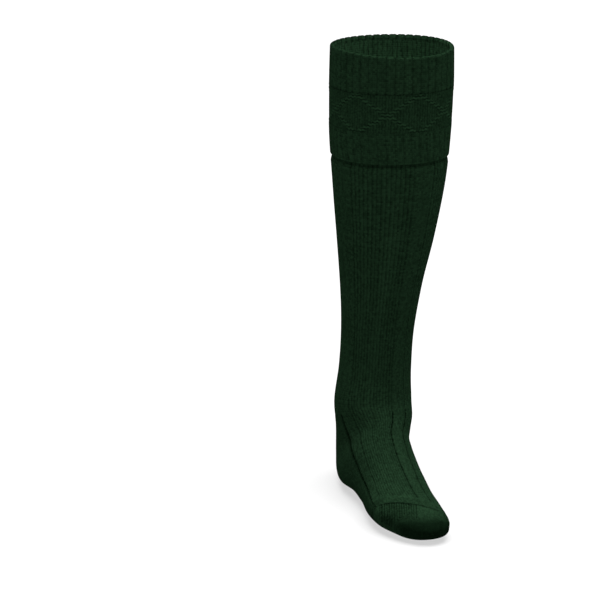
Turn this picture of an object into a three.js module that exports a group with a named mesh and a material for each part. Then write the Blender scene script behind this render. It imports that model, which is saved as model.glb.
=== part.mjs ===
// A knitted kilt hose sock in its worn form: a turned-down cuff, a ribbed leg and instep,
// and a plain heel, sole and toe.
//
// Millimetres, +Z up. The origin is the middle of the mouth, level with the top of the fold in front.
// The toes point along -Y, and the inner side of the leg is on -X.
import * as THREE from "three";
import { mergeVertices } from "three/addons/utils/BufferGeometryUtils.js";

// Driving dimensions
const HEIGHT = 435; // floor to the top of the fold in front
const INSTEP_HEIGHT = 97; // floor to the bend in front of the ankle
const FOOT_LENGTH = 214; // back of the heel to the start of the toe's rounding
const TOE_ROUND = 25; // length of the toe's rounded end
const TOE_BLUNT = 2.4; // how blunt that end is, where 2 is an ellipse
const FOOT_WIDTH = 65; // across the ball of the foot
const HEEL_REACH = 38.5; // back of the heel to the axis of the leg
const CALF_WIDTH = 119; // across the mouth
const CALF_DEPTH = 117; // front to back at the mouth
const ANKLE_WIDTH = 69.5; // across the ankle
const ANKLE_FRONT = 52.5; // axis of the leg to the front of the ankle
const ANKLE_BACK = 26.5; // axis of the leg to the back of the ankle
const LEAN = 26; // how far the mouth leans to the outer side
const RIM_DIP = 3.5; // how far the rim dips in front
const RIM_DIP_TURN = 10; // degrees from the front to the lowest part of the rim

const KNIT = 1.8; // thickness of the knitted wall
const GAP = 0.3; // clearance between two pieces that meet
const SAME = 1e-6; // two sizes this close are the same
const MERGE = 1e-5; // corners this close become one
const FULL_TURN = 360; // degrees in a full turn

const RIB_BAND_DEPTH = 34.5; // top of the fold to the lattice
const LATTICE_DEPTH = 37.5; // the band of diamonds
const HEM_DEPTH = 30.5; // the ribs below the diamonds
const FOLD_DEPTH = 5; // how far the fold reaches down inside the mouth
const EASE_DEPTH = 15; // below the hem, where the leg swells out to its full size

const BROAD_RIBS = 44; // broad ribs round the cuff
const BROAD_RIB_RELIEF = 0.5;
const SCALLOP = 0.9; // how far each broad rib hangs over the lattice
const HEM_RIBS = 44; // ribs round the hem
const HEM_RIB_RELIEF = 0.4;
const HEM_RIB_LEAN = 3; // degrees from the top of a hem rib to its foot
const HEM_ROUND = 0.6; // rounding of the free edge
const DIAMONDS = 6; // diamonds round the cuff
const DIAMOND_TURN = 7; // degrees from the front to the middle of a diamond
const RIDGE_HALF_WIDTH = 2.5; // of the lines of the lattice
const RIDGE_RELIEF = 0.6;

const PATTERN_TURN = 18; // degrees from the front to the narrow rib on the instep
const NARROW_RIBS = 4; // narrow ribs round the leg
const NARROW_RIB_HALF = 12; // degrees
const GROOVE_HALF = 1.6; // degrees
const GROOVE_DEPTH = 0.6;
const PANEL_STEPS = 5; // flats across one wide panel

const UNDER_CUFF_STEPS = 2;
const LEG_STEPS = 8;
const HEEL_STEPS = 6;
const SOLE_STEPS = 6;
const TOE_STEPS = 7;

const CUFF_DEPTH = RIB_BAND_DEPTH + LATTICE_DEPTH + HEM_DEPTH;
const UNDER_CUFF = KNIT + GAP;
const CALF_HALF = CALF_WIDTH / 2;
const ANKLE_HALF = ANKLE_WIDTH / 2;
const HALF_DEPTH = CALF_DEPTH / 2;

// Sections of the leg, from the mouth to the ankle. height is a share of the way from the instep
// to the mouth. front, back and sides are shares of the way from the ankle's size to the calf's,
// and lean is a share of LEAN.
const LEG_SECTIONS = [
  { height: 1.0, front: 1.0, back: 1.0, sides: 1.0, lean: 1.0 },
  { height: 0.89, front: 1.17, back: 1.0, sides: 1.02, lean: 0.98 },
  { height: 0.754, front: 1.33, back: 0.94, sides: 0.96, lean: 0.92 },
  { height: 0.607, front: 1.33, back: 0.72, sides: 0.78, lean: 0.83 },
  { height: 0.459, front: 1.0, back: 0.44, sides: 0.5, lean: 0.67 },
  { height: 0.32, front: 0.5, back: 0.19, sides: 0.19, lean: 0.48 },
  { height: 0.186, front: 0.0, back: 0.0, sides: 0.01, lean: 0.33 },
  { height: 0.071, front: 0.0, back: 0.0, sides: 0.0, lean: 0.25 },
];

// Sections of the foot, which fan round the heel from level to upright. top and under are the places
// of the upper and lower edge, as shares of FOOT_LENGTH from the back of the heel. rise and lift are
// their heights, as shares of INSTEP_HEIGHT. inner and outer are half widths, as shares of
// FOOT_WIDTH, lean is a share of LEAN, and flat says how square the underside is.
const FOOT_SECTIONS = [
  { top: 0.444, rise: 1.0, under: 0.033, lift: 0.825, inner: 0.57, outer: 0.554, lean: 0.175, flat: 2.1 },
  { top: 0.477, rise: 0.887, under: 0.005, lift: 0.454, inner: 0.5, outer: 0.569, lean: 0.13, flat: 2.2 },
  { top: 0.505, rise: 0.814, under: 0.0, lift: 0.134, inner: 0.44, outer: 0.554, lean: 0.04, flat: 2.4 },
  { top: 0.533, rise: 0.753, under: 0.103, lift: 0.0, inner: 0.475, outer: 0.523, lean: -0.08, flat: 2.6 },
  { top: 0.57, rise: 0.68, under: 0.243, lift: 0.0, inner: 0.5, outer: 0.508, lean: -0.12, flat: 3.4 },
  { top: 0.64, rise: 0.577, under: 0.397, lift: 0.02, inner: 0.47, outer: 0.492, lean: -0.15, flat: 3.0 },
  { top: 0.729, rise: 0.474, under: 0.551, lift: 0.01, inner: 0.49, outer: 0.469, lean: -0.15, flat: 3.0 },
  { top: 0.822, rise: 0.392, under: 0.724, lift: 0.0, inner: 0.562, outer: 0.438, lean: -0.15, flat: 3.0 },
  { top: 0.911, rise: 0.33, under: 0.869, lift: 0.0, inner: 0.554, outer: 0.42, lean: -0.12, flat: 3.0 },
  { top: 1.0, rise: 0.278, under: 0.981, lift: 0.0, inner: 0.435, outer: 0.39, lean: -0.08, flat: 3.0 },
];

// The gusset narrows the ribbed instep behind the arch, and the toe narrows it again. place is a share
// of the way along the foot's sections, and narrowed is the share of a panel taken on each side.
const GUSSET = [
  { place: 0.067, narrowed: 0 },
  { place: 0.16, narrowed: 0.08 },
  { place: 0.33, narrowed: 0.23 },
  { place: 0.5, narrowed: 0.23 },
  { place: 0.62, narrowed: 0.12 },
  { place: 0.78, narrowed: 0.18 },
  { place: 1.0, narrowed: 0.2 },
];

const ROUND_LEG = 2.1; // roundness of a leg section, where 2 is an ellipse
const ROUND_INSTEP = 2.3;
const HEEL_PLACE = 0.067; // where the heel begins, as a share of the way along the foot's sections
const SOLE_PLACE = 0.4;
const SEAM_PLACE = 0.941; // the seam across the toes, at the front of the section
const SEAM_SLANT = 0.107; // how much further along it lies on the outer side

// Sections between the edges in front of and behind the leg
function legSection(row) {
  const front = THREE.MathUtils.lerp(ANKLE_FRONT, HALF_DEPTH, row.front);
  const back = THREE.MathUtils.lerp(ANKLE_BACK, HALF_DEPTH, row.back);
  const side = THREE.MathUtils.lerp(ANKLE_HALF, CALF_HALF, row.sides);
  const z = THREE.MathUtils.lerp(INSTEP_HEIGHT, HEIGHT, row.height) - HEIGHT;
  return {
    x: (row.lean - 1) * LEAN,
    topY: -front,
    topZ: z,
    underY: back,
    underZ: z,
    inner: side,
    outer: side,
    round: ROUND_LEG,
    flat: ROUND_LEG,
  };
}

function footSection(row) {
  return {
    x: (row.lean - 1) * LEAN,
    topY: HEEL_REACH - row.top * FOOT_LENGTH,
    topZ: row.rise * INSTEP_HEIGHT - HEIGHT,
    underY: HEEL_REACH - row.under * FOOT_LENGTH,
    underZ: row.lift * INSTEP_HEIGHT - HEIGHT,
    inner: row.inner * FOOT_WIDTH,
    outer: row.outer * FOOT_WIDTH,
    round: ROUND_INSTEP,
    flat: row.flat,
  };
}

const SECTIONS = [...LEG_SECTIONS.map(legSection), ...FOOT_SECTIONS.map(footSection)];
const LAST = SECTIONS.length - 1;
const FOOT_START = LEG_SECTIONS.length;

// Evenly spaced values from one to another
function steps(from, to, count) {
  return Array.from({ length: count + 1 }, (_, i) => THREE.MathUtils.lerp(from, to, i / count));
}

// The row number of a place along the foot's sections
function footRow(place) {
  return THREE.MathUtils.lerp(FOOT_START, LAST, place);
}

const HEEL_ROW = footRow(HEEL_PLACE);
const SOLE_ROW = footRow(SOLE_PLACE);
const END_ROW = LAST + 1;

function catmullRom(a, b, c, d, t) {
  const slope = (c - a) / 2;
  const nextSlope = (d - b) / 2;
  const rise = c - b;
  return b + t * (slope + t * (3 * rise - 2 * slope - nextSlope + t * (slope + nextSlope - 2 * rise)));
}

// The toe's rounded end at a row number: ahead runs from 0 to 1 along it, and open is the share of the
// section that is left
function closingAt(row) {
  const turn = THREE.MathUtils.clamp(row - LAST, 0, 1) * (Math.PI / 2);
  return { ahead: Math.sin(turn) ** (2 / TOE_BLUNT), open: Math.cos(turn) ** (2 / TOE_BLUNT) };
}

// What goes on tapering past the last section, so that the rounded end meets it without a crease
const TAPERS = ["x", "topZ", "underZ", "inner", "outer"];
const TAPER_LENGTH = SECTIONS[LAST - 1].topY - SECTIONS[LAST].topY;

// The section at a row number, with every value eased between its neighbours
function sectionAt(row) {
  const start = THREE.MathUtils.clamp(Math.floor(row), 0, LAST - 1);
  const t = THREE.MathUtils.clamp(row - start, 0, 1);
  const near = [-1, 0, 1, 2].map((step) => SECTIONS[THREE.MathUtils.clamp(start + step, 0, LAST)]);
  const section = {};
  for (const key of Object.keys(SECTIONS[0])) {
    section[key] = catmullRom(near[0][key], near[1][key], near[2][key], near[3][key], t);
  }
  const beyond = (closingAt(row).ahead * TOE_ROUND) / TAPER_LENGTH;
  for (const key of TAPERS) {
    section[key] += beyond * (SECTIONS[LAST][key] - SECTIONS[LAST - 1][key]);
  }
  return section;
}

// How far the rim stands above its lowest part, which fades out at the foot of the broad ribs
function rimRise(angle, z) {
  const dip = Math.max(0, Math.cos(THREE.MathUtils.degToRad(angle - RIM_DIP_TURN))) ** 2;
  return RIM_DIP * (1 - dip) * THREE.MathUtils.clamp(1 + z / RIB_BAND_DEPTH, 0, 1);
}

// A point of the sock at a row number and an angle from the front (degrees, positive to the outer
// side), sunk by inset from its outside. Past the last section the toe closes in a blunt round end.
function surfacePoint(row, angle, inset) {
  const s = sectionAt(row);
  const { ahead, open } = closingAt(row);
  const cos = Math.cos(THREE.MathUtils.degToRad(angle));
  const sin = Math.sin(THREE.MathUtils.degToRad(angle));
  const power = cos > 0 ? s.round : s.flat;
  const reach = (Math.abs(cos) ** power + Math.abs(sin) ** power) ** (-1 / power);
  const half = new THREE.Vector3(0, s.topY - s.underY, s.topZ - s.underZ).multiplyScalar(0.5);
  const length = half.length();
  const side = sin > 0 ? s.outer : s.inner;
  const point = new THREE.Vector3(s.x, (s.topY + s.underY) / 2, (s.topZ + s.underZ) / 2);
  point.addScaledVector(half, (open * reach * cos * (length - inset)) / length);
  point.x += open * reach * sin * (side - inset);
  point.y -= ahead * (TOE_ROUND - inset);
  point.z += rimRise(angle, point.z);
  return point;
}

// The row number at a depth below the top of the fold
function rowAtDepth(depth) {
  let low = 0;
  let high = FOOT_START;
  for (let step = 0; step < 40; step += 1) {
    const middle = (low + high) / 2;
    if (-sectionAt(middle).topZ < depth) {
      low = middle;
    } else {
      high = middle;
    }
  }
  return low;
}

// The row number that lies a distance further along the surface, and the same for an angle
function furtherRow(row, angle, distance) {
  const step = 0.01;
  const pace = surfacePoint(row, angle, 0).distanceTo(surfacePoint(row + step, angle, 0)) / step;
  return row + distance / pace;
}

function furtherAngle(row, angle, distance) {
  const step = 0.1;
  const pace = surfacePoint(row, angle, 0).distanceTo(surfacePoint(row, angle + step, 0)) / step;
  return angle + distance / pace;
}

// How far the leg's outside lies under the form's: tucked under the cuff, then easing out
function tuck(row) {
  const below = THREE.MathUtils.clamp((-sectionAt(row).topZ - CUFF_DEPTH) / EASE_DEPTH, 0, 1);
  return UNDER_CUFF * (1 - below * below * (3 - 2 * below));
}

// Angles of the pattern round the leg, from one edge of the instep to the other
const PANEL = FULL_TURN / NARROW_RIBS;
const RIB_INNER_EDGE = PATTERN_TURN - NARROW_RIB_HALF;
const RIB_OUTER_EDGE = PATTERN_TURN + NARROW_RIB_HALF;
const INSTEP_INNER = RIB_INNER_EDGE - PANEL;
const INSTEP_OUTER = RIB_OUTER_EDGE + PANEL;

// How far the gusset narrows the instep on each side at a row number, in degrees
function narrowing(row) {
  const place = (row - FOOT_START) / (LAST - FOOT_START);
  const next = GUSSET.findIndex((edge) => edge.place > place);
  if (next === 0) {
    return 0;
  }
  const from = GUSSET.at(next - 1);
  const to = GUSSET.at(next);
  const share = next < 0 ? 1 : THREE.MathUtils.inverseLerp(from.place, to.place, place);
  return PANEL * THREE.MathUtils.lerp(from.narrowed, to.narrowed, share);
}

// The row number of the seam across the toes, which slants with the toes
function seamRow(angle) {
  return footRow(SEAM_PLACE + SEAM_SLANT * Math.sin(THREE.MathUtils.degToRad(angle)));
}

// A groove on each side of every narrow rib
function grooveColumns(edge) {
  return [
    { angle: edge - GROOVE_HALF, sunk: 0 },
    { angle: edge, sunk: GROOVE_DEPTH },
    { angle: edge + GROOVE_HALF, sunk: 0 },
  ];
}

function patternColumns() {
  const columns = [];
  for (let rib = 0; rib < NARROW_RIBS; rib += 1) {
    const inner = INSTEP_INNER + rib * PANEL;
    const outer = inner + 2 * NARROW_RIB_HALF;
    columns.push(...grooveColumns(inner), { angle: (inner + outer) / 2, sunk: 0 }, ...grooveColumns(outer));
    const wide = steps(outer + GROOVE_HALF, inner + PANEL - GROOVE_HALF, PANEL_STEPS).slice(1, -1);
    columns.push(...wide.map((angle) => ({ angle, sunk: 0 })));
  }
  return columns;
}

const COLUMNS = patternColumns();
const INNER_COLUMN = COLUMNS.findIndex((column) => column.angle === INSTEP_INNER);
const OUTER_COLUMN = COLUMNS.findIndex((column) => Math.abs(column.angle - INSTEP_OUTER) < SAME);

// The angle of a column of the pattern at a row number: the instep's columns close up or open with
// its edges, and the narrow rib in the middle keeps its width
function columnAngle(angle, row) {
  const inner = INSTEP_INNER + narrowing(row);
  const outer = INSTEP_OUTER - narrowing(row);
  if (angle < RIB_INNER_EDGE) {
    return THREE.MathUtils.mapLinear(angle, INSTEP_INNER, RIB_INNER_EDGE, inner, RIB_INNER_EDGE);
  }
  if (angle <= RIB_OUTER_EDGE) {
    return angle;
  }
  if (angle <= INSTEP_OUTER) {
    return THREE.MathUtils.mapLinear(angle, RIB_OUTER_EDGE, INSTEP_OUTER, RIB_OUTER_EDGE, outer);
  }
  return THREE.MathUtils.mapLinear(angle, INSTEP_OUTER, INSTEP_INNER + FULL_TURN, outer, inner + FULL_TURN);
}

// A closed body from faces given as lists of points. Points in the same place become one vertex,
// and a face that shrinks to a line, as at the end of the toe, is dropped.
function bodyFromFaces(faces) {
  const positions = [];
  for (const [a, b, c, d] of faces) {
    for (const corners of [[a, b, c], [a, c, d]]) {
      const across = new THREE.Vector3().subVectors(corners[1], corners[0]);
      const along = new THREE.Vector3().subVectors(corners[2], corners[0]);
      if (across.cross(along).length() > SAME) {
        corners.forEach((corner) => positions.push(corner.x, corner.y, corner.z));
      }
    }
  }
  const geometry = new THREE.BufferGeometry();
  geometry.setAttribute("position", new THREE.Float32BufferAttribute(positions, 3));
  return mergeVertices(geometry, MERGE);
}

// A wall between an outside and an inside, over a net of rows and columns. Both are functions of a
// row and a column that give points, and the wall is closed along the net's edges.
function wall(rowCount, columnCount, wraps, outside, inside) {
  const at = (place, i, j) => place(i, wraps ? j % columnCount : j);
  const faces = [];
  const closeEdge = (i0, j0, i1, j1) => {
    faces.push([at(outside, i0, j0), at(outside, i1, j1), at(inside, i1, j1), at(inside, i0, j0)]);
  };
  const cell = (place, i, j) => {
    return [at(place, i, j), at(place, i + 1, j), at(place, i + 1, j + 1), at(place, i, j + 1)];
  };
  for (let i = 0; i < rowCount; i += 1) {
    for (let j = 0; j < columnCount; j += 1) {
      faces.push(cell(outside, i, j), cell(inside, i, j).toReversed());
    }
  }
  for (let j = 0; j < columnCount; j += 1) {
    closeEdge(0, j, 0, j + 1);
    closeEdge(rowCount, j + 1, rowCount, j);
  }
  for (let i = 0; !wraps && i < rowCount; i += 1) {
    closeEdge(i + 1, 0, i, 0);
    closeEdge(i, columnCount, i + 1, columnCount);
  }
  return bodyFromFaces(faces);
}

// A ring whose cross-section is a closed outline: place(k, j) gives its points
function ring(outlineCount, columnCount, place) {
  const faces = [];
  for (let k = 0; k < outlineCount; k += 1) {
    const next = (k + 1) % outlineCount;
    for (let j = 0; j < columnCount; j += 1) {
      const beside = (j + 1) % columnCount;
      faces.push([place(k, j), place(k, beside), place(next, beside), place(next, j)]);
    }
  }
  return bodyFromFaces(faces);
}

// Angles round a ribbed band: two columns on each crest and one in each valley. along is a share of
// one rib's pitch from the middle of its crest.
const RIB_COLUMNS = [
  { along: -0.25, valley: 0 },
  { along: 0.25, valley: 0 },
  { along: 0.5, valley: 1 },
];

function ribColumns(count) {
  const pitch = FULL_TURN / count;
  const turns = steps(0, FULL_TURN - pitch, count - 1);
  return turns.flatMap((turn) => {
    return RIB_COLUMNS.map(({ along, valley }) => ({ angle: turn + along * pitch, valley }));
  });
}

// The rolled fold turns from facing outwards, over the top of the mouth, to facing inwards. turn is
// in degrees and ribbed is the share of the ribs' relief that shows there.
const FOLD = [
  { turn: 0, ribbed: 0.9 },
  { turn: 45, ribbed: 0.7 },
  { turn: 90, ribbed: 0.6 },
  { turn: 135, ribbed: 0.7 },
  { turn: 180, ribbed: 0.8 },
];

// A point of the fold's outline, below the top by depth, with the way that its valleys are sunk
function foldPoint({ turn, ribbed }, depth) {
  const round = (KNIT + UNDER_CUFF) / 2;
  const cos = Math.cos(THREE.MathUtils.degToRad(turn));
  const sin = Math.sin(THREE.MathUtils.degToRad(turn));
  return {
    inset: round * (1 - cos),
    depth: depth + round * (1 - sin),
    inwards: ribbed * BROAD_RIB_RELIEF * cos,
    down: ribbed * BROAD_RIB_RELIEF * sin,
  };
}

// The broad ribs and the rolled fold: out of the mouth, over the top and down outside
function ribBand() {
  const columns = ribColumns(BROAD_RIBS);
  const round = (KNIT + UNDER_CUFF) / 2;
  const first = { turn: FOLD[0].turn, ribbed: 1 };
  const last = FOLD[FOLD.length - 1];
  const plain = (inset, depth) => ({ inset, depth, inwards: 0, down: 0 });
  const outline = [
    { ...plain(KNIT, RIB_BAND_DEPTH), hangs: SCALLOP },
    { ...foldPoint(first, RIB_BAND_DEPTH - round), hangs: SCALLOP },
    ...FOLD.map((turned) => foldPoint(turned, 0)),
    foldPoint(last, FOLD_DEPTH - round),
    plain(UNDER_CUFF, FOLD_DEPTH),
    plain(UNDER_CUFF, KNIT),
    plain(KNIT, KNIT),
  ];
  return ring(outline.length, columns.length, (k, j) => {
    const { inset, depth, inwards, down, hangs = 0 } = outline[k];
    const { angle, valley } = columns[j];
    const row = rowAtDepth(depth + valley * (down - hangs));
    return surfacePoint(row, angle, inset + valley * inwards);
  });
}

// The lines of the lattice at one height of the band. climb is 0 where the lines cross, at the middle
// of the band, and 1 at its edges, where they meet again. Angles run from the crossing, and the
// columns beside a line keep a small share of a half diamond free, so that none of them meet.
const LINE_ROOM = 0.06;

function latticeColumns(climb, halfWidth) {
  const half = FULL_TURN / DIAMONDS / 2;
  const line = climb * half;
  const crest = THREE.MathUtils.clamp(line, LINE_ROOM * half, (1 - LINE_ROOM) * half);
  const near = Math.max(line - halfWidth, (LINE_ROOM / 2) * half);
  const far = Math.min(line + halfWidth, (1 - LINE_ROOM / 2) * half);
  const column = (angle, sign) => {
    const relief = Math.max(0, 1 - Math.abs(angle - line) / halfWidth);
    return { angle: sign * angle, relief };
  };
  const side = [near / 2, near, crest, far, (far + half) / 2];
  const before = [half, ...side.toReversed()].map((angle) => column(angle, -1));
  const after = [0, ...side].map((angle) => column(angle, 1));
  return [...before, ...after];
}

function latticeBand() {
  const top = RIB_BAND_DEPTH + GAP;
  const bottom = RIB_BAND_DEPTH + LATTICE_DEPTH;
  const half = FULL_TURN / DIAMONDS / 2;
  const slope = Math.atan2(LATTICE_DEPTH / 2, CALF_HALF * THREE.MathUtils.degToRad(half));
  const halfWidth = THREE.MathUtils.radToDeg(RIDGE_HALF_WIDTH / Math.sin(slope) / CALF_HALF);
  const merge = halfWidth / half;
  const below = [0, merge / 2, merge, 1 - merge, 1 - merge / 2, 1];
  const above = below.slice(1).toReversed().map((climb) => -climb);
  const outline = [...above, ...below].map((climb) => ({
    depth: THREE.MathUtils.mapLinear(climb, -1, 1, top, bottom),
    columns: latticeColumns(Math.abs(climb), halfWidth),
    ground: RIDGE_RELIEF,
  }));
  const middle = latticeColumns(1 / 2, halfWidth);
  outline.push({ depth: bottom, columns: middle, ground: KNIT });
  outline.push({ depth: top, columns: middle, ground: KNIT });
  const perDiamond = middle.length;
  return ring(outline.length, DIAMONDS * perDiamond, (k, j) => {
    const { depth, columns, ground } = outline[outline.length - 1 - k];
    const { angle, relief } = columns[j % perDiamond];
    const crossing = DIAMOND_TURN + half + 2 * half * Math.floor(j / perDiamond);
    const inset = ground === KNIT ? KNIT : ground * (1 - relief);
    return surfacePoint(rowAtDepth(depth), crossing + angle, inset);
  });
}

// The last ribs of the cuff, down to its free edge
function hemBand() {
  const columns = ribColumns(HEM_RIBS);
  const top = RIB_BAND_DEPTH + LATTICE_DEPTH + GAP;
  const outline = [
    { inset: KNIT, depth: CUFF_DEPTH, share: 0 },
    { inset: HEM_ROUND, depth: CUFF_DEPTH, share: 0.5 },
    { inset: 0, depth: CUFF_DEPTH - 2 * HEM_ROUND, share: 1 },
    { inset: 0, depth: top, share: 1 },
    { inset: KNIT, depth: top, share: 0 },
  ];
  return ring(outline.length, columns.length, (k, j) => {
    const { inset, depth, share } = outline[k];
    const { angle, valley } = columns[j];
    const lean = HEM_RIB_LEAN * ((depth - top) / HEM_DEPTH);
    return surfacePoint(rowAtDepth(depth), angle + lean, inset + valley * share * HEM_RIB_RELIEF);
  });
}

const CUFF_ROW = rowAtDepth(CUFF_DEPTH);
const TUCKED_ROWS = steps(rowAtDepth(FOLD_DEPTH + GAP), CUFF_ROW, UNDER_CUFF_STEPS);
const LEG_ROWS = [CUFF_ROW, ...steps(rowAtDepth(CUFF_DEPTH + EASE_DEPTH), HEEL_ROW, LEG_STEPS)];
const HEEL_ROWS = steps(HEEL_ROW, SOLE_ROW, HEEL_STEPS);
const SOLE_ROWS = steps(SOLE_ROW, footRow(SEAM_PLACE), SOLE_STEPS);

// The row number of a step along the foot, stretched so that the last one follows the seam
function towardSeam(row, angle) {
  if (row <= SOLE_ROW) {
    return row;
  }
  return THREE.MathUtils.mapLinear(row, SOLE_ROW, footRow(SEAM_PLACE), SOLE_ROW, seamRow(angle));
}

// The leg, from the fold down to the bend in front of the ankle and the top of the heel
function leg() {
  const rows = [...TUCKED_ROWS, ...LEG_ROWS.slice(1)];
  const place = (thickness) => (i, j) => {
    const { angle, sunk } = COLUMNS[j];
    const groove = thickness > 0 ? 0 : sunk;
    return surfacePoint(rows[i], angle, tuck(rows[i]) + thickness + groove);
  };
  return wall(rows.length - 1, COLUMNS.length, true, place(0), place(KNIT));
}

// A panel of the foot over some rows and columns. Its first row keeps clear of what lies above it,
// and its sides keep edgeGap clear of what lies beside it.
function footPanel(rows, columns, edgeGap) {
  const last = columns.length - 1;
  const place = (thickness) => (i, j) => {
    let angle = columnAngle(columns[j].angle, rows[i]);
    let row = towardSeam(rows[i], angle);
    if (i === 0) {
      row = furtherRow(row, angle, GAP);
    }
    if (j === 0) {
      angle = furtherAngle(row, angle, edgeGap);
    }
    if (j === last) {
      angle = furtherAngle(row, angle, -edgeGap);
    }
    const groove = thickness > 0 ? 0 : columns[j].sunk;
    return surfacePoint(row, angle, thickness + groove);
  };
  return wall(rows.length - 1, last, false, place(0), place(KNIT));
}

// The ribbed instep, from the leg to the seam across the toes
function instep() {
  const columns = COLUMNS.slice(INNER_COLUMN, OUTER_COLUMN + 1);
  return footPanel([...HEEL_ROWS, ...SOLE_ROWS.slice(1)], columns, 0);
}

// The plain knitting behind and below the instep, over some rows
function plainPanel(rows) {
  const behind = COLUMNS.slice(OUTER_COLUMN).map((column) => column.angle);
  const nextTurn = COLUMNS.slice(0, INNER_COLUMN + 1).map((column) => column.angle + FULL_TURN);
  const columns = [...behind, ...nextTurn].map((angle) => ({ angle, sunk: 0 }));
  return footPanel(rows, columns, GAP);
}

// The toe, from the seam to its rounded end
function toeCap() {
  const place = (thickness) => (i, j) => {
    const angle = columnAngle(COLUMNS[j].angle, footRow(SEAM_PLACE));
    const start = furtherRow(seamRow(angle), angle, GAP);
    return surfacePoint(THREE.MathUtils.lerp(start, END_ROW, i / TOE_STEPS), angle, thickness);
  };
  return wall(TOE_STEPS, COLUMNS.length, true, place(0), place(KNIT));
}

// Wool: the upright walls are near black green, and the foot is the same wool seen in more light
const WOOL_ROUGHNESS = 0.9;
const LEG_GREEN = 0x1b3522;
const CUFF_GREEN = 0x1d3926;
const LATTICE_GREEN = 0x203d29;
const FOOT_GREEN = 0x1f3b27;

function piece(name, geometry, color) {
  geometry.computeVertexNormals();
  const material = new THREE.MeshStandardMaterial({ color, roughness: WOOL_ROUGHNESS, metalness: 0 });
  const mesh = new THREE.Mesh(geometry, material);
  mesh.name = name;
  return mesh;
}

const sock = new THREE.Group();
sock.add(piece("turnover_rib_band", ribBand(), CUFF_GREEN));
sock.add(piece("turnover_lattice_band", latticeBand(), LATTICE_GREEN));
sock.add(piece("turnover_hem_band", hemBand(), CUFF_GREEN));
sock.add(piece("leg", leg(), LEG_GREEN));
sock.add(piece("instep", instep(), FOOT_GREEN));
sock.add(piece("heel", plainPanel(HEEL_ROWS), FOOT_GREEN));
sock.add(piece("sole", plainPanel(SOLE_ROWS), FOOT_GREEN));
sock.add(piece("toe_cap", toeCap(), FOOT_GREEN));

export default sock;
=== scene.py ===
"""Dresses a knitted kilt hose sock: turned-down cuff, ribbed leg and instep, plain heel, sole and toe."""

from __future__ import annotations

import logging
import math
from dataclasses import dataclass
from enum import Enum
from typing import Sequence

import bpy
import numpy as np
from mathutils import Matrix, Vector


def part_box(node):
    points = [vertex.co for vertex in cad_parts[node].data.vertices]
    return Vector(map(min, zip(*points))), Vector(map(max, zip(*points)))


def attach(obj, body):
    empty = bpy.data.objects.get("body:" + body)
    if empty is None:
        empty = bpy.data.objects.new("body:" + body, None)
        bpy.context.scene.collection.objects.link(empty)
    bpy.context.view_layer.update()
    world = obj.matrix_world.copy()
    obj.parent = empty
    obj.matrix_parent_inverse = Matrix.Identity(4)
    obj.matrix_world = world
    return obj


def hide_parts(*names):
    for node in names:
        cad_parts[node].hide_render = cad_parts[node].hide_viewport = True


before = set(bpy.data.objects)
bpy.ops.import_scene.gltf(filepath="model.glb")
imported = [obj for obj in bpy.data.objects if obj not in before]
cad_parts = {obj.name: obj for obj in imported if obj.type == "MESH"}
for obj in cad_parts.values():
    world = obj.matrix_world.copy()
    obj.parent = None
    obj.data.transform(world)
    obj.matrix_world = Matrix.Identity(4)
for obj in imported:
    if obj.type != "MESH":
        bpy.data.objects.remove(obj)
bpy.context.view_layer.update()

LOG = logging.getLogger("kilt_hose")
MM = 0.001


# Shares of the sock's own sizes that set its sections


@dataclass(frozen=True)
class LegShare:
    """One section of the leg.

    height is a share of the way from the instep to the mouth, front, back and sides are shares of the
    way from the ankle's size to the calf's, and lean is a share of the mouth's lean.
    """

    height: float
    front: float
    back: float
    sides: float
    lean: float


@dataclass(frozen=True)
class FootShare:
    """One section of the foot, between its upper and its lower edge.

    top and under are shares of the foot's length from the back of the heel, rise and lift are shares of
    the instep's height, inner and outer are half widths as shares of the foot's width, lean is a share of
    the mouth's lean, and flat says how square the underside is.
    """

    top: float
    rise: float
    under: float
    lift: float
    inner: float
    outer: float
    lean: float
    flat: float


LEG_SHARES = (
    LegShare(height=1.0, front=1.0, back=1.0, sides=1.0, lean=1.0),
    LegShare(height=0.89, front=1.17, back=1.0, sides=1.02, lean=0.98),
    LegShare(height=0.754, front=1.33, back=0.94, sides=0.96, lean=0.92),
    LegShare(height=0.607, front=1.33, back=0.72, sides=0.78, lean=0.83),
    LegShare(height=0.459, front=1.0, back=0.44, sides=0.5, lean=0.67),
    LegShare(height=0.32, front=0.5, back=0.19, sides=0.19, lean=0.48),
    LegShare(height=0.186, front=0.0, back=0.0, sides=0.01, lean=0.33),
    LegShare(height=0.071, front=0.0, back=0.0, sides=0.0, lean=0.25),
)
FOOT_SHARES = (
    FootShare(0.444, 1.0, 0.033, 0.825, 0.57, 0.554, 0.175, 2.1),
    FootShare(0.477, 0.887, 0.005, 0.454, 0.5, 0.569, 0.13, 2.2),
    FootShare(0.505, 0.814, 0.0, 0.134, 0.44, 0.554, 0.04, 2.4),
    FootShare(0.533, 0.753, 0.103, 0.0, 0.475, 0.523, -0.08, 2.6),
    FootShare(0.57, 0.68, 0.243, 0.0, 0.5, 0.508, -0.12, 3.4),
    FootShare(0.64, 0.577, 0.397, 0.02, 0.47, 0.492, -0.15, 3.0),
    FootShare(0.729, 0.474, 0.551, 0.01, 0.49, 0.469, -0.15, 3.0),
    FootShare(0.822, 0.392, 0.724, 0.0, 0.562, 0.438, -0.15, 3.0),
    FootShare(0.911, 0.33, 0.869, 0.0, 0.554, 0.42, -0.12, 3.0),
    FootShare(1.0, 0.278, 0.981, 0.0, 0.435, 0.39, -0.08, 3.0),
)
ROUND_LEG = 2.1
ROUND_INSTEP = 2.3
TOE_BLUNT = 2.4
RIM_DIP_TURN = 10.0

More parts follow.
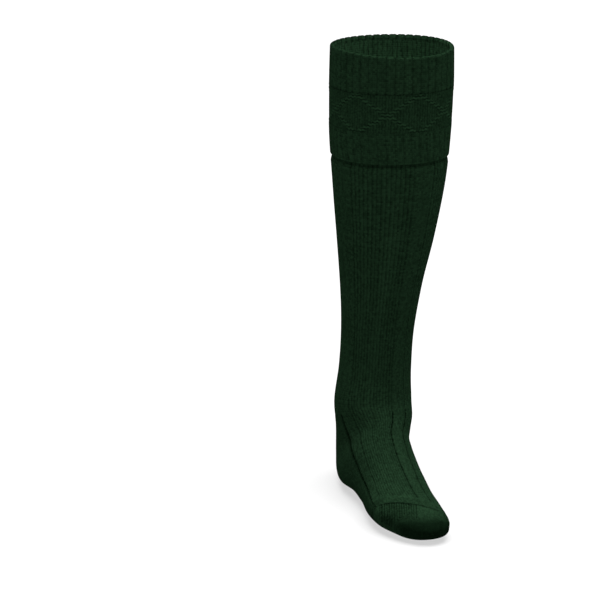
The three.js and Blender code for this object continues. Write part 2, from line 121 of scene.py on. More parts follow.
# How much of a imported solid's box each size takes, because the eased surface swells past its sections
HEIGHT_OF_BOX = 0.9982
CALF_WIDTH_OF_BOX = 0.9918
CALF_DEPTH_OF_BOX = 0.9919
FOOT_LENGTH_OF_BOX = 0.8976
TOE_ROUND_OF_BOX = 0.1049
FOOT_WIDTH_OF_BOX = 0.9151
HEEL_REACH_OF_BOX = 0.9636

# The leg's proportions
INSTEP_OF_HEIGHT = 0.223
ANKLE_OF_CALF_WIDTH = 0.292
ANKLE_FRONT_OF_CALF_DEPTH = 0.4487
ANKLE_BACK_OF_CALF_DEPTH = 0.2265
LEAN_OF_CALF_WIDTH = 0.2185

# Where the pieces begin, as shares of the way along the foot's sections, and how much of a panel
# the gusset takes from the instep on each side
HEEL_PLACE = 0.067
SOLE_PLACE = 0.4
SEAM_PLACE = 0.941
SEAM_SLANT = 0.107
GUSSET_PLACES = (0.067, 0.16, 0.33, 0.5, 0.62, 0.78, 1.0)
GUSSET_SHARES = (0.0, 0.08, 0.23, 0.23, 0.12, 0.18, 0.2)
GUSSET_EASE = 0.08

# The pattern round the leg, in degrees from the front
NARROW_RIBS = 4
NARROW_RIB = 24.0
PATTERN_TURN = 18.0
PANEL = 360.0 / NARROW_RIBS
RIB_INNER_EDGE = PATTERN_TURN - NARROW_RIB / 2
RIB_OUTER_EDGE = PATTERN_TURN + NARROW_RIB / 2
INSTEP_INNER = RIB_INNER_EDGE - PANEL
INSTEP_OUTER = RIB_OUTER_EDGE + PANEL
FINE_RIBS = 14
FINE_PITCH = (PANEL - NARROW_RIB) / FINE_RIBS
NARROW_PITCH = NARROW_RIB / 5
LEG_RIB_FULLNESS = 1.3

# The grooves beside the narrow ribs: their half width, how deep they are on the leg, how much deeper
# on the foot, how much less so on the two that turn faint there, and how far they sink below a valley
GROOVE_HALF = 1.3
LEG_GROOVE = 0.12
FOOT_GROOVE = 0.83
FAINTER_GROOVE = 0.7
GROOVE_SUNK = 0.35
GROOVES = [INSTEP_INNER + n * PANEL + side for n in range(NARROW_RIBS + 1) for side in (0.0, NARROW_RIB)]
FAINT_GROOVES = [INSTEP_INNER + NARROW_RIB, INSTEP_OUTER - NARROW_RIB]

# The slow unevenness: each wave's times round, radians a row, start and share of the height
WAVES = ((2, 1.3, 0.0, 0.35), (3, -2.1, 1.0, 0.35), (7, 3.7, 0.4, 0.15), (5, -4.9, 0.0, 0.15))
FOOT_WAVES = 0.22 * MM

# The hem's free edge from outside to inside: millimetres above its lowest point, the share of the wall
# that it has turned in, and how much of the ribs is left
HEM_EDGE = (
    (0.75, 0.03, 0.9),
    (0.3, 0.2, 0.6),
    (0.05, 0.45, 0.3),
    (0.05, 0.75, 0.1),
    (0.3, 1.0, 0.0),
    (4.0, 1.0, 0.0),
)


@dataclass(frozen=True)
class SockSizes:
    """Sizes of the sock in metres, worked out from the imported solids' boxes."""

    height: float  # floor to the top of the fold
    instep_height: float  # floor to the bend in front of the ankle
    foot_length: float  # back of the heel to the start of the toe's rounding
    toe_round: float  # length of the toe's rounded end
    foot_width: float
    heel_reach: float  # back of the heel to the leg's axis
    calf_half: float  # half width at the mouth
    calf_half_depth: float  # half depth at the mouth
    ankle_half: float  # half width at the ankle
    ankle_front: float  # leg's axis to the front of the ankle
    ankle_back: float  # leg's axis to the back of the ankle
    lean: float  # how far the mouth leans to the outer side
    rib_band_depth: float  # top of the fold to the foot of the broad ribs
    lattice_depth: float  # top of the fold to the foot of the lattice
    cuff_depth: float  # top of the fold to the cuff's free edge
    rim_dip: float  # how far the rim dips in front
    floor: float  # height of the surface that the sole rests on

    @classmethod
    def from_frame(cls) -> SockSizes:
        """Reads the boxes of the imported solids.

        Returns:
            The sock's sizes.
        """
        band_low, band_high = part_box("turnover_rib_band")
        heel_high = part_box("heel")[1]
        toe_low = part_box("toe_cap")[0]
        sole_low, sole_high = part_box("sole")
        floor = min(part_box("heel")[0][2], sole_low[2])
        height = -floor * HEIGHT_OF_BOX
        whole_foot = heel_high[1] - toe_low[1]
        calf_width = (band_high[0] - band_low[0]) * CALF_WIDTH_OF_BOX
        calf_depth = (band_high[1] - band_low[1]) * CALF_DEPTH_OF_BOX
        return cls(
            height=height,
            instep_height=height * INSTEP_OF_HEIGHT,
            foot_length=whole_foot * FOOT_LENGTH_OF_BOX,
            toe_round=whole_foot * TOE_ROUND_OF_BOX,
            foot_width=(sole_high[0] - sole_low[0]) * FOOT_WIDTH_OF_BOX,
            heel_reach=heel_high[1] * HEEL_REACH_OF_BOX,
            calf_half=calf_width / 2,
            calf_half_depth=calf_depth / 2,
            ankle_half=calf_width * ANKLE_OF_CALF_WIDTH,
            ankle_front=calf_depth * ANKLE_FRONT_OF_CALF_DEPTH,
            ankle_back=calf_depth * ANKLE_BACK_OF_CALF_DEPTH,
            lean=calf_width * LEAN_OF_CALF_WIDTH,
            rib_band_depth=-band_low[2],
            lattice_depth=-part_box("turnover_lattice_band")[0][2],
            cuff_depth=-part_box("turnover_hem_band")[0][2],
            rim_dip=band_high[2],
            floor=floor,
        )


class SockForm:
    """The sock's outside as a surface of row numbers and angles round the leg."""

    def __init__(self, sizes: SockSizes) -> None:
        """Works out the sections.

        Args:
            sizes: the sock's sizes.
        """
        self.sizes = sizes
        rows = [self._leg_section(share) for share in LEG_SHARES]
        rows += [self._foot_section(share) for share in FOOT_SHARES]
        self.sections = np.array(rows)
        self.foot_start = len(LEG_SHARES)
        self.last = len(rows) - 1
        self.end_row = self.last + 1.0
        self.heel_row = self.foot_row(HEEL_PLACE)
        self.sole_row = self.foot_row(SOLE_PLACE)
        self.seam_front = self.foot_row(SEAM_PLACE)
        # What goes on changing past the last section: x, the two heights and the two half widths
        change = self.sections[-1] - self.sections[-2]
        self.taper = change * np.array([1, 0, 1, 0, 1, 1, 1, 0, 0]) * sizes.toe_round / -change[1]

    def _leg_section(self, share: LegShare) -> list[float]:
        """Gives one leg section: x, top y, top z, under y, under z, inner, outer, round, flat.

        Args:
            share: the section's shares.

        Returns:
            The section's nine values.
        """
        s = self.sizes
        front = s.ankle_front + share.front * (s.calf_half_depth - s.ankle_front)
        back = s.ankle_back + share.back * (s.calf_half_depth - s.ankle_back)
        side = s.ankle_half + share.sides * (s.calf_half - s.ankle_half)
        z = (share.height - 1) * (s.height - s.instep_height)
        return [(share.lean - 1) * s.lean, -front, z, back, z, side, side, ROUND_LEG, ROUND_LEG]

    def _foot_section(self, share: FootShare) -> list[float]:
        """Gives one foot section in the same order as a leg section.

        Args:
            share: the section's shares.

        Returns:
            The section's nine values.
        """
        s = self.sizes
        return [
            (share.lean - 1) * s.lean,
            s.heel_reach - share.top * s.foot_length,
            share.rise * s.instep_height - s.height,
            s.heel_reach - share.under * s.foot_length,
            share.lift * s.instep_height - s.height,
            share.inner * s.foot_width,
            share.outer * s.foot_width,
            ROUND_INSTEP,
            share.flat,
        ]

    def foot_row(self, place: float | np.ndarray) -> float | np.ndarray:
        """Gives the row number of a place along the foot's sections."""
        return self.foot_start + place * (self.last - self.foot_start)

    def _closing(self, rows: np.ndarray) -> tuple[np.ndarray, np.ndarray]:
        """Gives how far along the toe's blunt round end the rows are, and how much of it is open there."""
        turn = np.clip(rows - self.last, 0, 1) * (math.pi / 2)
        return np.sin(turn) ** (2 / TOE_BLUNT), np.cos(turn) ** (2 / TOE_BLUNT)

    def _sections_at(self, rows: np.ndarray) -> np.ndarray:
        """Eases every section value between its neighbours at the row numbers.

        Args:
            rows: row numbers.

        Returns:
            The nine values, along one more axis.
        """
        inside = np.clip(rows, 0, self.last - 1e-9)
        start = np.floor(inside).astype(int)
        t = (inside - start)[..., None]
        a, b, c, d = (self.sections[np.clip(start + step, 0, self.last)] for step in (-1, 0, 1, 2))
        slope, next_slope, rise = (c - a) / 2, (d - b) / 2, c - b
        bend = 3 * rise - 2 * slope - next_slope + t * (slope + next_slope - 2 * rise)
        ahead, _ = self._closing(rows)
        return b + t * (slope + t * bend) + ahead[..., None] * self.taper

    def points(self, rows: np.ndarray, angles: np.ndarray, inset: np.ndarray | float = 0.0) -> np.ndarray:
        """Gives points of the surface.

        Args:
            rows: row numbers.
            angles: degrees from the front, positive to the outer side.
            inset: how far each point is sunk below the outside.

        Returns:
            An array of points, with the shape of the arguments and one more axis of three.
        """
        rows, angles, inset = np.broadcast_arrays(np.asarray(rows, float), angles, inset)
        values = self._sections_at(rows)
        x, top_y, top_z, under_y, under_z, inner, outer, round_, flat = np.moveaxis(values, -1, 0)
        ahead, opening = self._closing(rows)
        cos, sin = np.cos(np.radians(angles)), np.sin(np.radians(angles))
        power = np.where(cos > 0, round_, flat)
        reach = (np.abs(cos) ** power + np.abs(sin) ** power) ** (-1 / power)
        half_y, half_z = (top_y - under_y) / 2, (top_z - under_z) / 2
        length = np.hypot(half_y, half_z)
        along = opening * reach * cos * (length - inset) / length
        side = np.where(sin > 0, outer, inner) - inset
        point_x = x + opening * reach * sin * side
        point_y = (top_y + under_y) / 2 + half_y * along - ahead * (self.sizes.toe_round - inset)
        point_z = (top_z + under_z) / 2 + half_z * along
        dip = np.maximum(0, np.cos(np.radians(angles - RIM_DIP_TURN))) ** 2
        near_rim = np.clip(1 + point_z / self.sizes.rib_band_depth, 0, 1)
        rise = self.sizes.rim_dip * (1 - dip) * near_rim
        return np.stack([point_x, point_y, point_z + rise], axis=-1)

    def row_at_depth(self, depth: np.ndarray | float) -> np.ndarray:
        """Gives the row numbers at depths below the top of the fold.

        Args:
            depth: metres below the top of the fold, in front.

        Returns:
            The row numbers.
        """
        rows = np.linspace(0, self.foot_start, 2000)
        depths = -self._sections_at(rows)[:, 2]
        return np.interp(depth, depths, rows)

    def depth_of(self, rows: np.ndarray) -> np.ndarray:
        """Gives the depths of rows below the top of the fold, measured in front."""
        return -self._sections_at(np.asarray(rows, float))[..., 2]

    def even_rows(self, start: float, end: float, pitch: float, angles: Sequence[float]) -> np.ndarray:
        """Gives row numbers about one pitch apart along the surface.

        Args:
            start: first row number.
            end: last row number.
            pitch: distance between rows.
            angles: the angles at which the distance is measured, and averaged.

        Returns:
            The row numbers, from start to end.
        """
        rows, length = self._lengths(start, end, angles)
        count = max(2, int(round(length[-1] / pitch)) + 1)
        return np.interp(np.linspace(0, length[-1], count), length, rows)

    def courses(self, rows: np.ndarray, pitch: float, angles: Sequence[float]) -> np.ndarray:
        """Gives how many courses of stitches lie between the mouth and each row."""
        fine, length = self._lengths(0.0, self.end_row, angles)
        return np.interp(rows, fine, length) / pitch

    def _lengths(self, start: float, end: float, angles: Sequence[float]) -> tuple[np.ndarray, np.ndarray]:
        """Measures the surface's length from one row to another, averaged over some angles.

        Args:
            start: first row number.
            end: last row number.
            angles: degrees from the front.

        Returns:
            Row numbers, and the length from the first row to each.
        """
        rows = np.linspace(start, end, 1200)
        path = self.points(rows[:, None], np.asarray(angles, float)[None, :])
        steps = np.linalg.norm(np.diff(path, axis=0), axis=-1).mean(axis=-1)
        return rows, np.concatenate([[0.0], np.cumsum(steps)])

    def narrowing(self, rows: np.ndarray) -> np.ndarray:
        """Gives how far the gusset narrows the instep on each side at the rows, in degrees.

        Args:
            rows: row numbers.

        Returns:
            Degrees, 0 above the heel.
        """
        places = (np.asarray(rows) - self.foot_start) / (self.last - self.foot_start)
        around = places[..., None] + np.linspace(-GUSSET_EASE, GUSSET_EASE, 9)
        return PANEL * np.interp(around, GUSSET_PLACES, GUSSET_SHARES).mean(axis=-1)

    def column_angle(self, base: np.ndarray, rows: np.ndarray) -> np.ndarray:
        """Moves the pattern's columns with the edges of the instep.

        Args:
            base: the columns' angles on the leg, from INSTEP_INNER to INSTEP_INNER + 360.
            rows: row numbers.

        Returns:
            The columns' angles at the rows.
        """
        base, rows = np.broadcast_arrays(base, rows)
        narrow = self.narrowing(rows)
        left = (PANEL - narrow) / PANEL
        inner_side = RIB_INNER_EDGE - (RIB_INNER_EDGE - base) * left
        outer_side = RIB_OUTER_EDGE + (base - RIB_OUTER_EDGE) * left
        plain = 360.0 - (INSTEP_OUTER - INSTEP_INNER)
        behind = INSTEP_OUTER - narrow + (base - INSTEP_OUTER) * (plain + 2 * narrow) / plain
        angle = np.where(base < RIB_INNER_EDGE, inner_side, base)
        angle = np.where(base > RIB_OUTER_EDGE, outer_side, angle)
        return np.where(base > INSTEP_OUTER, behind, angle)

    def seam_row(self, angles: np.ndarray) -> np.ndarray:
        """Gives the row number of the seam across the toes."""
        return self.foot_row(SEAM_PLACE + SEAM_SLANT * np.sin(np.radians(angles)))

    def toward_seam(self, rows: np.ndarray, angles: np.ndarray) -> np.ndarray:
        """Stretches the rows of the foot so that the last one follows the seam.

        Args:
            rows: row numbers. The last row of the foot is seam_front.
            angles: degrees from the front.

        Returns:
            The stretched row numbers.
        """
        share = np.clip((rows - self.sole_row) / (self.seam_front - self.sole_row), 0, None)
        stretched = self.sole_row + share * (self.seam_row(angles) - self.sole_row)
        return np.where(rows > self.sole_row, stretched, rows)


# Shader maths


class Layer(Enum):
    """The UV layers that carry the knitting, with its painted light and shade, to the wool."""

    STITCHES = "stitches"
    RELIEF = "relief"


class Value:
    """A shader socket that takes part in Python arithmetic."""

    def __init__(self, graph: Graph, socket: bpy.types.NodeSocket | None) -> None:
        """Wraps a socket of a material's node graph, or none for a node that gives nothing."""
        self.graph = graph
        self.socket = socket

    def _math(self, operation: str, *values: Value | float) -> Value:
        """Adds one Math node and gives its result."""
        return self.graph.node("ShaderNodeMath", {"operation": operation}, dict(enumerate(values)))

    def __add__(self, other: Value | float) -> Value:
        """Adds."""
        return self._math("ADD", self, other)

    __radd__ = __add__

    def __sub__(self, other: Value | float) -> Value:
        """Subtracts."""
        return self._math("SUBTRACT", self, other)

    def __rsub__(self, other: float) -> Value:
        """Subtracts from a number."""
        return self._math("SUBTRACT", other, self)

    def __mul__(self, other: Value | float) -> Value:
        """Multiplies."""
        return self._math("MULTIPLY", self, other)

    __rmul__ = __mul__

    def __pow__(self, other: float) -> Value:
        """Raises to a power."""
        return self._math("POWER", self, other)

    def abs(self) -> Value:
        """Gives the size without its sign."""
        return self._math("ABSOLUTE", self)

    def fraction(self) -> Value:
        """Gives the part after the point."""
        return self._math("FRACT", self)

    def whole(self) -> Value:
        """Gives the part before the point."""
        return self._math("FLOOR", self)

    def at_least(self, other: Value | float) -> Value:
        """Gives the greater of the two."""
        return self._math("MAXIMUM", self, other)

    def at_most(self, other: Value | float) -> Value:
        """Gives the lesser of the two."""
        return self._math("MINIMUM", self, other)

    def eased(self, low: float, high: float) -> Value:
        """Gives a smooth step from 0 at low to 1 at high.

        Args:
            low: the value that gives 0.
            high: the value that gives 1.

        Returns:
            The step.
        """
        settings = {"interpolation_type": "SMOOTHSTEP"}
        inputs = {"Value": self, "From Min": low, "From Max": high}
        return self.graph.node("ShaderNodeMapRange", settings, inputs)


class Graph:
    """The node graph of one material."""

    def __init__(self, name: str) -> None:
        """Makes an empty material.

        Args:
            name: the material's name.
        """
        self.material = bpy.data.materials.new(name)
        self.material.use_nodes = True
        self.tree = self.material.node_tree
        self.tree.nodes.clear()

    def node(
        self,
        kind: str,
        settings: dict[str, object] | None = None,
        inputs: dict[str | int, object] | None = None,
        output: str | int = 0,
    ) -> Value:
        """Adds a node.

        Args:
            kind: the node's type.
            settings: its own settings, set first.
            inputs: values or links of its sockets, by name or number.
            output: the socket to give back.

        Returns:
            The chosen output.
        """
        made = self.tree.nodes.new(kind)
        for key, setting in (settings or {}).items():
            setattr(made, key, setting)
        for key, given in (inputs or {}).items():
            if isinstance(given, Value):
                self.tree.links.new(given.socket, made.inputs[key])
            else:
                made.inputs[key].default_value = given
        return Value(self, made.outputs[output] if made.outputs else None)

    def uv(self, layer: Layer) -> tuple[Value, Value]:
        """Gives the two coordinates of a UV layer.

        Args:
            layer: the UV layer.

        Returns:
            The first and the second coordinate.
        """
        vector = self.node("ShaderNodeUVMap", {"uv_map": layer.value})
        across = self.node("ShaderNodeSeparateXYZ", inputs={0: vector}, output=0)
        along = self.node("ShaderNodeSeparateXYZ", inputs={0: vector}, output=1)
        return across, along

    def mix(self, share: Value, first: Value | Sequence[float], second: Value | Sequence[float]) -> Value:
        """Mixes two colours, and goes on past the second where the share is over 1."""
        settings = {"data_type": "RGBA", "clamp_factor": False}
        return self.node("ShaderNodeMix", settings, {0: share, 6: first, 7: second}, output=2)

    def noise(self, scale: float, detail: float) -> Value:
        """Gives a soft noise over the object's own coordinates."""
        place = self.node("ShaderNodeTexCoord", output="Object")
        return self.node("ShaderNodeTexNoise", inputs={"Vector": place, "Scale": scale, "Detail": detail})

    def steady(self, across: Value | float, along: Value | float) -> Value:
        """Gives a number from 0 to 1 that always belongs to the same pair of coordinates."""
        place = self.node("ShaderNodeCombineXYZ", inputs={0: across, 1: along})
        return self.node("ShaderNodeTexWhiteNoise", {"noise_dimensions": "2D"}, {"Vector": place})


@dataclass(frozen=True)
class WoolFinish:
    """Dark green wool yarn, knitted."""

    name: str
    # The darkest colour: painted shade deep between the stitches and in the valleys of the ribs
    shadow: tuple[float, float, float, float] = (0.0008, 0.0026, 0.0011, 1.0)
    # Its colour on the brushed tops of the loops, partly painted light on the crests
    bloom: tuple[float, float, float, float] = (0.0120, 0.0320, 0.0150, 1.0)
    brightest: float = 5.0  # the greatest share of the bloom, where painted light makes the wool lighter than usual
    unlike: float = 0.4  # how much one stitch differs from the next
    line_share: float = 0.2  # how much of that goes by whole wales, and by whole courses
    mottle: float = 0.25  # how much the colour drifts from place to place
    stitch_light: float = 0.3  # how much lighter the middle of a stitch is, with painted shade between the stitches
    relief_light: float = 0.8  # painted light and shade: how much lighter a crest is made than a valley
    darkness: float = 0.27  # painted shade: how dark a valley is made
    slant: float = 0.55  # how far the arms of a stitch's V climb, in courses
    stitch_bump: float = 0.0004  # height of a stitch in metres
    fibre_bump: float = 0.5  # height of the single fibres, as a share of it

    def material(self) -> bpy.types.Material:
        """Builds the material.

        Returns:
            The finished material.
        """
        graph = Graph(self.name)
        across, along = graph.uv(Layer.STITCHES)
        relief, tone = graph.uv(Layer.RELIEF)
        stitch = self._stitch(across, along)
        wale, course = across.whole(), along.whole()
        loops = graph.steady(wale, course) * self.unlike
        lines = (graph.steady(wale, 7.0) + graph.steady(7.0, course)) * (self.line_share * self.unlike)
        mottle = graph.noise(300.0, 2.0) * self.mottle
        # The mean of the random parts is taken off again, so that unlike stitches leave the tone as it is
        mean = (1 + 2 * self.line_share) / 2 * self.unlike
        # Painted shade darkens the valleys and the gaps between stitches, and the tone layer multiplies in
        # painted light and shade
        lit = loops + lines + mottle + stitch * self.stitch_light + relief * self.relief_light
        share = (lit - (self.darkness + mean)) * tone
        colour = graph.mix(share.at_least(0.0).at_most(self.brightest), self.shadow, self.bloom)
        height = (stitch + graph.noise(2600.0, 2.0) * self.fibre_bump) * self.stitch_bump
        normal = graph.node("ShaderNodeBump", inputs={"Strength": 0.8, "Distance": 1.0, "Height": height})
        inputs = {"Base Color": colour, "Roughness": 0.95, "Normal": normal, "Specular IOR Level": 0.0}
        shader = graph.node("ShaderNodeBsdfPrincipled", inputs=inputs)
        graph.node("ShaderNodeOutputMaterial", inputs={"Surface": shader})
        return graph.material

    def _stitch(self, across: Value, along: Value) -> Value:
        """Draws the V of each stitch, from its wale and course.

        Args:
            across: wales counted across.
            along: courses counted along.

        Returns:
            Heights from 0 between the stitches to 1.
        """
        x = (across.fraction() * 2 - 1).abs()
        arm = (along + x * self.slant).fraction() * 2 - 1
        middle = x.eased(0.0, 0.3) * 0.4 + 0.6
        return (1 - arm * arm) * (1 - x ** 4.0) * middle


# Meshes


@dataclass
class Net:
    """A grid of points with its knitting."""

    points: np.ndarray  # rows by columns by three. Where the net wraps, its last column repeats the first
    wales: np.ndarray  # stitches counted across, by column or by point
    courses: np.ndarray  # stitches counted along, by row as a single column, or by point
    relief: np.ndarray  # 0 in a valley and 1 on a crest, by point, which paints shade into the valleys
    tone: np.ndarray | float = 1.0  # painted light and shade: how much lighter or darker the wool is made, by point, with 1 as usual
    wraps: bool = True  # whether the last column joins the first
    kept: np.ndarray | None = None  # which cells are there, or None for all

    def vertices(self) -> np.ndarray:
        """Gives the points in one list, without a column that repeats the first."""
        used = self.points[:, :-1] if self.wraps else self.points
        return used.reshape(-1, 3)

    def corners(self) -> list[tuple[np.ndarray, np.ndarray]]:
        """Gives the rows and the columns of the kept cells' four corners.

        Returns:
            Row numbers and column numbers for each corner, in order round the cell.
        """
        rows, columns = self.points.shape[:2]
        i, j = np.nonzero(np.ones((rows - 1, columns - 1), bool) if self.kept is None else self.kept)
        return [(i, j), (i + 1, j), (i + 1, j + 1), (i, j + 1)]

    def quads(self) -> np.ndarray:
        """Gives the four vertex numbers of each kept cell."""
        columns = self.points.shape[1] - int(self.wraps)
        return np.stack([i * columns + j % columns for i, j in self.corners()], axis=-1)

    def coordinates(self, layer: Layer) -> np.ndarray:
        """Gives a UV layer's two coordinates at each kept cell's corners.

        Args:
            layer: the UV layer.

        Returns:
            Cells by corners by two.
        """
        pair = (self.wales, self.courses) if layer is Layer.STITCHES else (self.relief, self.tone)
        grid = np.stack([np.broadcast_to(part, self.points.shape[:2]) for part in pair], axis=-1)
        return np.stack([grid[i, j] for i, j in self.corners()], axis=1)


def mesh_object(name: str, *nets: Net) -> bpy.types.Object:
    """Makes one object from nets.

    Args:
        name: the object's name.
        nets: the nets to join.

    Returns:
        The object, smooth shaded, with both UV layers.
    """
    points = [net.vertices() for net in nets]
    offsets = np.cumsum([0] + [len(part) for part in points])
    quads = np.concatenate([net.quads() + offset for net, offset in zip(nets, offsets)])
    used, faces = np.unique(quads, return_inverse=True)
    faces = faces.reshape(-1, 4)
    mesh = bpy.data.meshes.new(name)
    mesh.from_pydata(np.concatenate(points)[used].tolist(), [], faces.tolist())
    for layer in Layer:
        values = np.concatenate([net.coordinates(layer) for net in nets])
        made_layer = mesh.uv_layers.new(name=layer.value)
        made_layer.data.foreach_set("uv", values.astype(np.float32).ravel())
    mesh.polygons.foreach_set("use_smooth", np.ones(len(faces), bool))
    mesh.update()
    made = bpy.data.objects.new(name, mesh)
    bpy.context.scene.collection.objects.link(made)
    return made


def dress(piece: bpy.types.Object, material: bpy.types.Material, slot: str, *nodes: str) -> None:
    """Gives a piece its material and its place on the sock, and hides the solids that it stands for.

    Args:
        piece: the piece.
        material: its material.
        slot: not used.
        nodes: the solids that it replaces.
    """
    piece.data.materials.append(material)
    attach(piece, "root")
    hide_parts(*nodes)
    LOG.info("%s: %d faces in place of %s", piece.name, len(piece.data.polygons), ", ".join(nodes))


# Relief of the knitting


def crest(phase: np.ndarray, fullness: float) -> np.ndarray:
    """Gives a row of rounded ribs with a valley at each whole number.

    Args:
        phase: ribs counted from a valley.
        fullness: 1 for a plain wave, more for broad crests with narrow valleys.

    Returns:
        Heights from 0 to 1.
    """
    wave = np.abs(np.sin(np.pi * phase))
    return 1 - (1 - wave) ** fullness


def eased(value: np.ndarray, low: float, high: float) -> np.ndarray:
    """Gives a smooth step from 0 at low to 1 at high."""
    t = np.clip((value - low) / (high - low), 0, 1)
    return t * t * (3 - 2 * t)


def blend(share: np.ndarray, on: np.ndarray | float, off: np.ndarray | float) -> np.ndarray:
    """Gives on where the share is 1, off where it is 0, and a mixture between."""
    return share * on + (1 - share) * off


def bell(away: np.ndarray, half: np.ndarray | float) -> np.ndarray:
    """Gives a soft ridge: 1 in its middle, and about a third of that at its half width."""
    return np.exp(-((away / half) ** 2))


def unevenness(rows: np.ndarray, angles: np.ndarray, size: float) -> np.ndarray:
    """Gives the slow unevenness of hand-pulled fabric.

    Args:
        rows: row numbers.
        angles: degrees.
        size: its height in metres.

    Returns:
        Heights in metres, the same on both sides of every border.
    """
    turn = np.radians(angles)
    waves = (share * np.sin(times * turn + twist * rows + start) for times, twist, start, share in WAVES)
    return size * sum(waves)


def leg_pattern(base: np.ndarray, foot: np.ndarray) -> tuple[np.ndarray, np.ndarray]:
    """Gives the leg's pattern, whose grooves are faint on the leg and mostly deep on the foot.

    Args:
        base: the columns' angles on the leg.
        foot: by row, 0 on the leg and 1 on the foot.

    Returns:
        The relief, with 1 on a crest and less than 0 in a deep groove, and the wales counted across.
    """
    inside = np.mod(base - INSTEP_INNER, PANEL)
    narrow = 0.6 + 0.25 * crest(inside / NARROW_PITCH, LEG_RIB_FULLNESS)
    fine = 0.4 + 0.5 * crest((inside - NARROW_RIB) / FINE_PITCH, LEG_RIB_FULLNESS)
    relief = np.where(inside < NARROW_RIB, narrow, fine)
    every = sum(bell(base - groove, GROOVE_HALF) for groove in GROOVES)
    faint = sum(bell(base - groove, GROOVE_HALF) for groove in FAINT_GROOVES)
    cut = LEG_GROOVE * every + foot[:, None] * (FOOT_GROOVE * every - FAINTER_GROOVE * faint)
    return relief * (1 - cut) - GROOVE_SUNK * cut, 2 * (base - INSTEP_INNER) / FINE_PITCH


def profile(
    depth: np.ndarray,
    inset: np.ndarray | float = 0.0,
    ribbed: np.ndarray | float = 1.0,
    facing: np.ndarray | float = 0.0,
) -> np.ndarray:
    """Gives one stretch of a band's profile.

    Args:
        depth: below the top of the fold, by row.
        inset: below the sock's outside.
        ribbed: how much of the ribs is there.
        facing: degrees from outward over the top to inward.

    Returns:
        The four values, by row.
    """
    return np.stack(np.broadcast_arrays(depth, inset, ribbed, facing), axis=-1)


